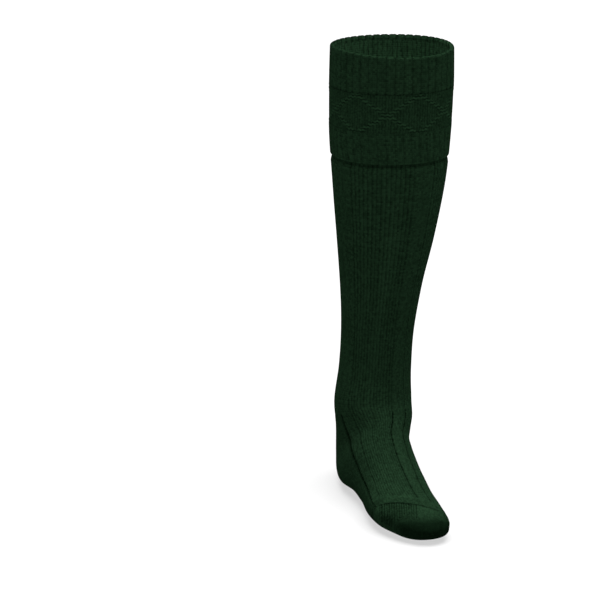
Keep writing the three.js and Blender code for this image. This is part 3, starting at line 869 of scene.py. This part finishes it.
@dataclass
class Cuff:
    """The turned-down cuff: rolled fold and broad ribs, lattice band, and hem."""

    form: SockForm
    wall: float = 1.8 * MM  # thickness of the knitting
    gap: float = 0.3 * MM  # clearance to the leg underneath
    waves: float = 0.15 * MM  # height of the slow unevenness
    broad_ribs: int = 44
    broad_relief: float = 0.45 * MM  # height of a broad rib
    rim_relief: float = 0.9 * MM  # height of its bump on the rim
    rim_shade: float = 0.5  # painted shade: how much darker the wool is made between the bumps on the rim
    back_shade: float = 0.4  # painted shade: how much darker the top of the fold is made behind
    mouth_painted_light: float = 3.8  # painted light: how much lighter the wool is made where the fold goes down inside the mouth
    fold_depth: float = 5 * MM  # how far the fold reaches down inside the mouth
    scallop: float = 1.17 * MM  # how far each broad rib hangs over the lattice
    hang_depth: float = 4 * MM  # how far above their lower edge the ribs begin to hang
    edge_depth: float = 0.75 * MM  # how far their edge goes down as it turns in
    diamonds: int = 6  # round the band
    diamond_turn: float = 7.0  # degrees from the front to the middle of a diamond
    lattice_ribs: int = 132  # fine ribs round the lattice band
    lattice_sunk: float = 0.95 * MM  # how far the deepest valley of the band lies under the outside
    lattice_half: float = 2.4 * MM  # half width of a lattice line, square to it
    lattice_drop: float = 1.5 * MM  # how far the lattice's crossings lie below the middle of its band
    purl_pitch: float = 3.1 * MM  # height of one purl ridge on the lattice lines
    purl_waver: float = 0.14  # how far a ridge wavers up and down, in ridges
    hem_ribs: int = 44
    hem_relief: float = 0.35 * MM  # height of a hem rib
    hem_lean: float = 3.0  # degrees from the top of a hem rib to its foot
    rib_wales: int = 4  # stitches across one rib
    course: float = 1.9 * MM  # height of one course of stitches

    def build(self) -> None:
        """Builds and dresses the three bands."""
        broad = WoolFinish("cuff_wool").material()
        lattice = WoolFinish("lattice_wool").material()
        dress(self._rib_band(), broad, "cuff_wool", "turnover_rib_band")
        dress(self._lattice_band(), lattice, "lattice_wool", "turnover_lattice_band")
        dress(self._hem_band(), broad, "cuff_wool", "turnover_hem_band")

    def _turns(self, count: int, steps: int) -> np.ndarray:
        """Gives angles round the cuff with some steps for each rib, the last one a full turn on."""
        return np.linspace(0, 360, count * steps + 1)

    def _rib_band(self) -> bpy.types.Object:
        """Builds the broad ribs and the fold over the mouth's edge.

        Returns:
            The band.
        """
        form, end, radius = self.form, self.form.sizes.rib_band_depth, self.wall + self.gap / 2
        over, under = np.linspace(180, 0, 13), np.radians([30.0, 60.0, 90.0])
        sin, cos = np.sin(np.radians(over)), np.cos(np.radians(over))
        # Up inside the mouth, over the fold, down outside, and in under the ribs above the lattice
        stretches = [
            profile(np.linspace(self.fold_depth, radius, 4)[:-1], 2 * radius, facing=180.0),
            profile(radius * (1 - sin), radius * (1 - cos), facing=over),
            profile(np.linspace(radius, end, 26)[1:]),
            profile(end + self.edge_depth * np.sin(under), self.wall * (1 - np.cos(under)), np.cos(under)),
        ]
        depth, inset, ribbed, facing = np.concatenate(stretches).T[..., None]
        angles = self._turns(self.broad_ribs, 10)
        phase = angles / 360 * self.broad_ribs
        relief = 0.8 * crest(phase, 1.8) + 0.2 * crest(2 * phase, 1.2)
        valley, way = (1 - relief) * ribbed, np.radians(facing)
        down = self.rim_relief * valley * np.abs(np.sin(way))
        hangs = self.scallop * (1 - relief) * eased(depth, end - self.hang_depth, end)
        sunk = inset + self.broad_relief * valley * np.cos(way)
        points = form.points(form.row_at_depth(depth + down - hangs), angles, sunk)
        courses = (np.where(facing < 90, depth, -depth) - way * radius) / self.course
        # Painted light inside the mouth, and painted shade along the top of the fold behind
        behind = eased(-np.cos(np.radians(angles)), -0.2, 0.5)
        top = 1 - eased(np.abs(facing - 100.0), 50, 90)
        inside = eased(facing - 20 * behind, 100, 170)
        tone = blend(inside, self.mouth_painted_light, 1.0) - self.back_shade * top * behind
        # Painted shade: darker in the ribs' valleys and between the rim's bumps, and much darker where the
        # band turns in under its lower edge
        shown = (0.53 + 0.3 * relief) * (1 - 0.8 * eased(depth, end, end + self.edge_depth))
        shown = shown - self.rim_shade * top * valley
        return mesh_object("cuff_rib_band", Net(points, phase * self.rib_wales, courses, shown, tone))

    def _lattice_lines(self, angles: np.ndarray, climb: np.ndarray) -> np.ndarray:
        """Gives the height of the lattice's lines.

        Args:
            angles: degrees.
            climb: -1 at the band's top, 0 at the crossings and 1 at its foot.

        Returns:
            Heights from 0 beside a line to 1 on it.
        """
        sizes = self.form.sizes
        half = 180 / self.diamonds
        run = sizes.calf_half * math.radians(half)
        rise = (sizes.lattice_depth - sizes.rib_band_depth) / 2
        across = (np.mod(angles - self.diamond_turn, 2 * half) - half) / half
        square = rise * run / math.hypot(rise, run)
        away = np.abs(np.abs(across) - np.abs(climb)) * square
        return 1 - eased(away, 0.55 * self.lattice_half, 1.15 * self.lattice_half)

    def _lattice_band(self) -> bpy.types.Object:
        """Builds the band of diamonds, with purl ridges along its lines and fine ribs between them.

        Returns:
            The band.
        """
        form, begin, end = self.form, self.form.sizes.rib_band_depth, self.form.sizes.lattice_depth
        angles = self._turns(self.lattice_ribs, 4)
        depth = np.linspace(begin - 0.6 * MM, end, 62)[:, None]
        half = (end - begin) / 2
        climb = (depth - begin - half - self.lattice_drop) / half
        line = self._lattice_lines(angles, np.clip(climb, -1, 1))
        waver = self.purl_waver * np.sin(np.radians(angles) * self.lattice_ribs * 0.6)
        purl = crest(depth / self.purl_pitch + waver, 1.0)
        phase = angles / 360 * self.lattice_ribs
        ribs = crest(phase, 1.3)
        raised = blend(line, 0.1 + 0.9 * purl, 0.3 + 0.3 * ribs) * MM
        rows = form.row_at_depth(depth)
        points = form.points(rows, angles, self.lattice_sunk - raised + unevenness(rows, angles, self.waves))
        # Painted light and shade: the purl ridges lighter on their crests and dark between, the fine ribs
        # darker in their valleys, and dark just under the broad ribs' edge
        below_ribs = eased(depth, begin - 0.2 * MM, begin + 1.6 * MM)
        shown = blend(line, 0.05 + 1.35 * purl, 0.55 + 0.3 * ribs) * blend(below_ribs, 1.0, 0.2)
        return mesh_object("cuff_lattice_band", Net(points, phase * 2, depth / (self.purl_pitch / 2), shown))

    def _hem_band(self) -> bpy.types.Object:
        """Builds the ribs below the lattice, down to the free edge and round it.

        Returns:
            The band.
        """
        form, begin, end = self.form, self.form.sizes.lattice_depth, self.form.sizes.cuff_depth
        above, turned, left = np.array(HEM_EDGE).T
        outside = profile(np.linspace(begin, end - 1.2 * MM, 24))
        edge = profile(end - above * MM, turned * self.wall, left)
        depth, inset, ribbed, _ = np.concatenate([outside, edge]).T[..., None]
        angles = self._turns(self.hem_ribs, 9)
        phase = angles / 360 * self.hem_ribs
        relief = blend(eased(depth, begin, begin + 2 * MM), crest(phase, 1.9), 0.6)
        sunk = inset + self.hem_relief * (1 - relief) * ribbed
        lean = self.hem_lean * (depth - begin) / (end - begin)
        rows = form.row_at_depth(depth)
        points = form.points(rows, angles + lean, sunk + unevenness(rows, angles, self.waves))
        # Painted shade in the ribs' valleys, and darker along the free edge where it turns in
        shown = (0.58 + 0.24 * relief) * blend(ribbed, 1.0, 0.5)
        return mesh_object("cuff_hem_band", Net(points, phase * self.rib_wales, depth / self.course, shown))


@dataclass
class LegAndInstep:
    """The ribbed leg, and the ribbed instep that runs on from it."""

    form: SockForm
    wall: float = 1.8 * MM  # thickness of the knitting
    under_cuff: float = 2.1 * MM  # how far the leg lies under the cuff's outside
    ease_depth: float = 7 * MM  # the length below the hem where the leg swells out to its full size
    relief: float = 0.7 * MM  # height of the ribs
    row_pitch: float = 2.5 * MM  # distance between rows of points
    course: float = 1.7 * MM  # height of one course of stitches
    fold_depth: float = 5 * MM  # where the leg begins, below the top of the fold
    plain_rows: float = 0.55  # rows of the form between the end of the ribs and the seam of the toe
    plain_relief: float = 0.7  # how high plain knitting lies, with 1 on a crest of the ribs
    shin_start: float = 3.0  # the row where the lighter strip begins
    # Degrees from the front to the lighter strip at its top and at its foot
    shin_turn: tuple[float, float] = (-10.0, -36.0)
    shin_half: float = 7.0  # half its width in degrees
    shin_light: float = 0.14  # how much lighter the strip is made, added to the relief that shows
    inner_ribs: int = 72  # broad ribs inside the mouth
    inner_wales: int = 4  # stitches across one of them
    inner_relief: float = 0.5 * MM  # their height
    inner_fade: tuple[float, float] = (40 * MM, 70 * MM)  # the depths between which they run out
    mouth_painted_light: float = 4.8  # painted light: how much lighter the wool is made inside the mouth
    inner_course: float = 2.0 * MM  # height of one course of stitches inside

    def build(self) -> None:
        """Builds and dresses the leg and the instep."""
        piece = mesh_object("leg_and_instep_knit", self._outside(), self._inside())
        dress(piece, WoolFinish("leg_wool").material(), "leg_wool", "leg", "instep")

    def _tuck(self, rows: np.ndarray) -> np.ndarray:
        """Gives how far the leg's outside is sunk at the rows: under the cuff, then easing out."""
        below = self.form.depth_of(rows) - self.form.sizes.cuff_depth
        return self.under_cuff * (1 - eased(below, 0.0, self.ease_depth))

    def _columns(self) -> np.ndarray:
        """Gives the base angles of the columns, closer together in the fine ribs.

        Returns:
            Degrees, from INSTEP_INNER to INSTEP_INNER + 360.
        """
        angles = []
        for panel in range(NARROW_RIBS):
            start = INSTEP_INNER + panel * PANEL
            angles.append(np.linspace(start, start + NARROW_RIB, 13)[:-1])
            angles.append(np.linspace(start + NARROW_RIB, start + PANEL, FINE_RIBS * 5 + 1)[:-1])
        return np.concatenate([*angles, [INSTEP_INNER + 360.0]])

    def _outside(self) -> Net:
        """Builds the outside, with every rib and groove.

        Returns:
            The net, open below the heel's edge where the plain knitting lies.
        """
        form, base = self.form, self._columns()
        start = float(form.row_at_depth(self.fold_depth))
        hem = float(form.row_at_depth(form.sizes.cuff_depth - 3 * MM))
        hidden = form.even_rows(start, hem, 12 * MM, (0, 180))
        leg = form.even_rows(hem, form.heel_row, self.row_pitch, (-60, 60, 180))
        foot = form.even_rows(form.heel_row, form.seam_front, self.row_pitch * 0.85, (-30, 20))
        rows = np.concatenate([hidden, leg[1:], foot[1:]])
        angles = form.column_angle(base[None, :], rows[:, None])
        real_rows = form.toward_seam(rows[:, None], angles)
        foot_share = eased(rows, form.heel_row - 0.6, form.heel_row + 1.0)
        relief, wales = leg_pattern(base, foot_share)
        relief = self._soften(relief, base, rows)
        inset = self._tuck(real_rows) + self.relief * (1 - relief) + unevenness(real_rows, angles, FOOT_WAVES)
        points = form.points(real_rows, angles, inset)
        courses = form.courses(real_rows, self.course, (0.0,))
        # Below the leg, only the instep's columns are there
        kept = np.ones((len(rows) - 1, len(base) - 1), bool)
        tube = len(hidden) + len(leg) - 2
        kept[tube:] = base[:-1] < INSTEP_OUTER - 1e-6
        # Painted shade in the grooves and the ribs' valleys, a lighter strip down the front of the leg, and
        # painted light making the foot a tenth lighter
        shown = 0.15 + 0.8 * np.clip(relief, -0.15, 1) + self._light_strip(real_rows, angles)
        return Net(points, wales, courses, shown, 1 + 0.1 * foot_share[:, None], kept=kept)

    def _soften(self, relief: np.ndarray, base: np.ndarray, rows: np.ndarray) -> np.ndarray:
        """Lets the ribs run out behind, above the plain heel, and a little before the seam of the toe.

        Args:
            relief: the ribs' relief.
            base: the columns' angles on the leg.
            rows: row numbers.

        Returns:
            The softened relief.
        """
        to_heel = eased(self.form.heel_row - rows, 0.0, 0.06)[:, None]
        relief = np.where(base > INSTEP_OUTER, blend(to_heel, relief, self.plain_relief), relief)
        to_seam = self.form.seam_front - rows[:, None]
        ribbed = eased(to_seam, self.plain_rows, self.plain_rows + 0.15)
        ridge = 0.3 * bell(to_seam - self.plain_rows, 0.09)
        return blend(ribbed, relief, self.plain_relief) + ridge

    def _light_strip(self, rows: np.ndarray, angles: np.ndarray) -> np.ndarray:
        """Gives how much lighter the wool is made along a strip that slants down the front of the leg.

        Args:
            rows: row numbers.
            angles: degrees from the front.

        Returns:
            What it adds to the relief that shows.
        """
        down = np.clip((rows - self.shin_start) / (self.form.heel_row - self.shin_start), 0, 1)
        middle = blend(down, self.shin_turn[1], self.shin_turn[0])
        along = eased(down, 0.0, 0.15) * (1 - eased(rows, self.form.heel_row, self.form.heel_row + 0.5))
        return self.shin_light * along * bell(angles - middle, self.shin_half)

    def _inside(self) -> Net:
        """Builds the inside, with the broad ribs that show in the mouth.

        Returns:
            The net, from the toe's seam up to the fold.
        """
        form = self.form
        angles = np.linspace(0, 360, self.inner_ribs * 8 + 1)
        start = float(form.row_at_depth(self.fold_depth))
        near = float(form.row_at_depth(60 * MM))
        rows = np.concatenate([
            form.even_rows(start, near, 2.5 * MM, (0, 180)),
            form.even_rows(near, form.heel_row, 9 * MM, (0, 180))[1:],
            form.even_rows(form.heel_row, form.seam_front, 6 * MM, (0, 180))[1:],
        ])[::-1, None]
        phase = angles / 360 * self.inner_ribs
        relief = blend(eased(form.depth_of(rows), *self.inner_fade), 0.6, 0.5 + 0.4 * crest(phase, 2.2))
        thick = self._tuck(rows) + self.wall - self.inner_relief * (1 - relief)
        courses = form.courses(rows, self.inner_course, (0.0,))
        points = form.points(rows, angles, thick)
        # Painted light all through the inside, and painted shade in the valleys of its ribs
        return Net(points, phase * self.inner_wales, courses, relief, self.mouth_painted_light)


@dataclass
class PlainFoot:
    """The plain knitting of the foot: the heel and gusset, the sole, and the toe with its seam."""

    form: SockForm
    edge_sunk: float = 0.75 * MM  # how far the knitting sinks at the edge of the ribbed instep
    edge_width: float = 5.0  # how far from that edge it rises, in degrees
    pitch: float = 2.2 * MM  # distance between points
    round_reach: float = 33 * MM  # the foot's mean radius, by which the stitches round it are counted
    wale: float = 1.5 * MM  # width of one stitch
    course: float = 1.4 * MM  # height of one course of stitches
    relief: float = 0.78  # how high the plain knitting looks, with 1 on a crest of the ribs
    floor_painted_shade: float = 0.75  # painted shade: how light the wool is left at the floor
    # The heights above the floor between which the painted shade fades out
    floor_rise: tuple[float, float] = (6 * MM, 30 * MM)
    toe_painted_light: float = 1.2  # painted light: how much lighter the wool is made on top of the toe
    toe_painted_shade: float = 0.85  # painted shade: how much of that is taken off where the toe turns down ahead
    seam_width: float = 1.1 * MM  # the seam's groove without its ridge
    seam_spread: float = 0.9 * MM  # how much wider the groove is beside the ridge
    seam_height: float = 0.5 * MM  # how far the ridge stands up
    pucker: float = 0.7 * MM  # height of the gathers below the seam
    gather_pitch: float = 2.3 * MM  # width of one gather
    gather_turn: float = -18.0  # degrees from straight ahead to the way that the row of gathers faces
    # The first and the last gather, counted across that way from the leg's axis
    gather_span: tuple[float, float] = (-5.5, 9.0)
    gather_length: float = 30 * MM  # how far the gathers run from the seam

    def build(self) -> None:
        """Builds and dresses the three pieces."""
        form = self.form
        plain = WoolFinish("plain_wool").material()
        heel_rows = form.even_rows(form.heel_row, form.sole_row, self.pitch, (180, 120, 240))
        sole_rows = form.even_rows(form.sole_row, form.seam_front, self.pitch, (180,))
        dress(self._panel("heel_knit", heel_rows), plain, "plain_wool", "heel")
        dress(self._panel("sole_knit", sole_rows), plain, "plain_wool", "sole")
        dress(self._toe(), plain, "plain_wool", "toe_cap")

    def _panel(self, name: str, rows: np.ndarray) -> bpy.types.Object:
        """Builds the plain knitting behind and below the instep, between two rows.

        Args:
            name: the piece's name.
            rows: row numbers of its points.

        Returns:
            The piece.
        """
        form = self.form
        base = np.linspace(INSTEP_OUTER, INSTEP_INNER + 360, 64)
        angles = form.column_angle(base[None, :], rows[:, None])
        real_rows = form.toward_seam(rows[:, None], angles)
        edge = self._edge(base, real_rows)
        inset = self.edge_sunk * edge + unevenness(real_rows, angles, FOOT_WAVES)
        points = form.points(real_rows, angles, inset)
        across = np.radians(angles) * self.round_reach / self.wale
        courses = form.courses(real_rows, self.course, (180.0,))
        # Painted shade where the knitting sinks beside the ribbed instep, and towards the floor
        net = Net(points, across, courses, 0.75 * (1 - edge), self._painted_floor_shade(points), wraps=False)
        return mesh_object(name, net)

    def _painted_floor_shade(self, points: np.ndarray) -> np.ndarray:
        """Gives painted shade: the wool a little darker down towards the floor."""
        above = points[..., 2] - self.form.sizes.floor
        return blend(eased(above, *self.floor_rise), 1.0, self.floor_painted_shade)

    def _edge(self, base: np.ndarray, rows: np.ndarray) -> np.ndarray:
        """Gives how far the plain knitting sinks beside the ribbed instep, as a share of the most.

        Args:
            base: the columns' angles on the leg.
            rows: row numbers.

        Returns:
            Shares from 0 to 1.
        """
        away = np.minimum(base - INSTEP_OUTER, INSTEP_INNER + 360 - base)
        near_seam = eased(rows, self.form.seam_front - 0.4, self.form.seam_front)
        return (1 - eased(away, 0.0, self.edge_width)) * blend(near_seam, 0.35, 1.0)

    def _toe(self) -> bpy.types.Object:
        """Builds the toe: the seam, the gathers below it and the rounded end.

        Returns:
            The piece.
        """
        form = self.form
        angles = np.linspace(-180, 180, 445)
        start = form.seam_row(angles)
        steps = np.concatenate([np.linspace(0, 0.3, 22)[:-1], np.linspace(0.3, 1, 34)])[:, None]
        rows = start + steps * (form.end_row - start)
        smooth = form.points(rows, angles)
        away = np.linalg.norm(smooth - smooth[0], axis=-1)
        # The seam's ridge stands up on the inner side, and runs out over the toes to the outer side
        over = eased(angles, -75, -45) * (1 - 0.7 * eased(angles, -10, 40)) * (1 - eased(angles, 60, 90))
        ridge = self.seam_height * over * bell(away - 1.6 * MM, 0.8 * MM)
        groove = bell(away, self.seam_width + self.seam_spread * over)
        count = self._gather_count(smooth)
        valleys = self._gathers(count, away) * (np.abs(angles) < 100)
        inset = 0.6 * MM * groove - ridge + self.pucker * valleys
        points = form.points(rows, angles, inset + unevenness(rows, angles, FOOT_WAVES))
        # Painted shade in the seam's groove, strongest where its ridge stands up, and in the gathers' valleys
        relief = self.relief - 0.7 * groove * blend(over, 1.0, 0.2) - 0.7 * valleys
        # Painted shade towards the floor and where the toe turns down ahead, and painted light on top of the
        # toe
        tone = self._painted_floor_shade(smooth) * self._painted_toe_light_and_shade(smooth)
        net = Net(points, 2 * count, away / self.course, np.clip(relief, 0, 1), tone)
        return mesh_object("toe_cap_knit", net)

    def _gather_count(self, points: np.ndarray) -> np.ndarray:
        """Counts gathers from the leg's axis, so that each runs straight down the toe's front.

        Args:
            points: points of the toe.

        Returns:
            Gathers, by point.
        """
        facing = math.radians(self.gather_turn)
        across = np.array([math.cos(facing), math.sin(facing), 0.0])
        return points @ across / self.gather_pitch

    def _gathers(self, count: np.ndarray, away: np.ndarray) -> np.ndarray:
        """Gives the valleys of the gathers below the seam.

        Args:
            count: gathers counted across the toe.
            away: distances from the seam.

        Returns:
            Depths from 0 to 1.
        """
        first, last = self.gather_span
        gathered = eased(count, first - 1, first) * (1 - eased(count, last, last + 1))
        end = self.gather_length
        below = eased(away, 1.0 * MM, 2.4 * MM) * (1 - eased(away, end, end + 5 * MM))
        return (1 - crest(count, 1.0)) * below * gathered

    def _painted_toe_light_and_shade(self, points: np.ndarray) -> np.ndarray:
        """Gives painted light on top of the toe, and painted shade where it turns down ahead.

        Args:
            points: points of the toe.

        Returns:
            Tones, by point, with 1 as usual.
        """
        normal = np.cross(np.gradient(points, axis=0), np.gradient(points, axis=1))
        size = np.linalg.norm(normal, axis=-1)
        ahead = np.abs(normal[..., 1]) / np.maximum(size, 1e-12)
        return self.toe_painted_light - self.toe_painted_shade * eased(ahead, 0.3, 0.6)


@dataclass(frozen=True)
class Studio:
    """The pale floor, the soft light and the camera."""

    sizes: SockSizes
    floor_size: float = 120.0  # width and length of the floor in metres
    floor_glow: float = 0.6  # how strongly it glows, so that hardly a shadow lies on it
    world_light: float = 0.09  # strength of the even light from all round
    light_power: float = 7.6  # strength of the soft light from above
    light_spread: float = 60.0  # how wide that light is, in degrees
    light_side: tuple[float, float, float] = (0.08, 0.04, 1.0)  # the way it comes from
    azimuth: float = -18.0  # degrees round the sock
    tilt: float = 15.4  # the camera's angle below level, in degrees
    distance: float = 2.6  # camera to mouth in metres
    pixels_per_metre: float = 1040.0  # the photograph's scale at the mouth
    frame_pixels: float = 600.0  # width and height of the photograph
    mouth_pixel: tuple[float, float] = (392.0, 47.5)  # where the mouth's middle lies in it
    sensor: float = 36.0  # width of the sensor in millimetres

    def build(self) -> None:
        """Builds the studio."""
        self._floor()
        self._lights()
        self._camera()

    def _floor(self) -> None:
        """Lays a wide pale floor under the sole."""
        place = (0, 0, self.sizes.floor - 0.2 * MM)
        bpy.ops.mesh.primitive_plane_add(size=self.floor_size, location=place)
        floor = bpy.context.object
        floor.name = "studio_floor"
        graph = Graph("pale_floor")
        colour = graph.mix(graph.noise(6.0, 2.0), (0.195, 0.195, 0.195, 1.0), (0.205, 0.205, 0.205, 1.0))
        inputs = {"Base Color": colour, "Roughness": 0.85, "Emission Color": (1.0, 1.0, 1.0, 1.0)}
        inputs["Emission Strength"] = self.floor_glow
        shader = graph.node("ShaderNodeBsdfPrincipled", inputs=inputs)
        graph.node("ShaderNodeOutputMaterial", inputs={"Surface": shader})
        floor.data.materials.append(graph.material)

    def _lights(self) -> None:
        """Adds an even white world and a wide soft light from far above and a little to the outer side."""
        world = bpy.data.worlds.new("studio_world")
        world.use_nodes = True
        background = world.node_tree.nodes["Background"]
        background.inputs["Color"].default_value = (1.0, 1.0, 1.0, 1.0)
        background.inputs["Strength"].default_value = self.world_light
        bpy.context.scene.world = world
        data = bpy.data.lights.new("overhead_light", "SUN")
        data.angle = math.radians(self.light_spread)
        data.energy = self.light_power
        light = bpy.data.objects.new("overhead_light", data)
        light.rotation_euler = (-Vector(self.light_side)).to_track_quat("-Z", "Y").to_euler()
        bpy.context.scene.collection.objects.link(light)
        bpy.context.scene.view_settings.view_transform = "Standard"

    def _camera(self) -> None:
        """Sets the camera where the photograph's was."""
        around, down = math.radians(self.azimuth), math.radians(self.tilt)
        right = Vector((math.cos(around), math.sin(around), 0))
        level = Vector((-math.sin(around), math.cos(around), 0))
        ahead = level * math.cos(down) - Vector((0, 0, math.sin(down)))
        up = right.cross(ahead)
        focal = self.pixels_per_metre * self.distance
        centre = self.frame_pixels / 2
        across = (self.mouth_pixel[0] - centre) * self.distance / focal
        above = (centre - self.mouth_pixel[1]) * self.distance / focal
        data = bpy.data.cameras.new("camera")
        data.sensor_width = self.sensor
        data.lens = focal / self.frame_pixels * self.sensor
        camera = bpy.data.objects.new("camera", data)
        axes = Matrix((right, up, -ahead)).transposed().to_4x4()
        axes.translation = -(ahead * self.distance + right * across + up * above)
        camera.matrix_world = axes
        bpy.context.scene.collection.objects.link(camera)
        bpy.context.scene.camera = camera


def main() -> None:
    """Builds the sock's pieces in order, then the studio."""
    logging.basicConfig(level=logging.INFO, format="%(name)s: %(message)s")
    sizes = SockSizes.from_frame()
    form = SockForm(sizes)
    Cuff(form).build()
    LegAndInstep(form).build()
    PlainFoot(form).build()
    Studio(sizes).build()


if __name__ == "__main__":
    main()
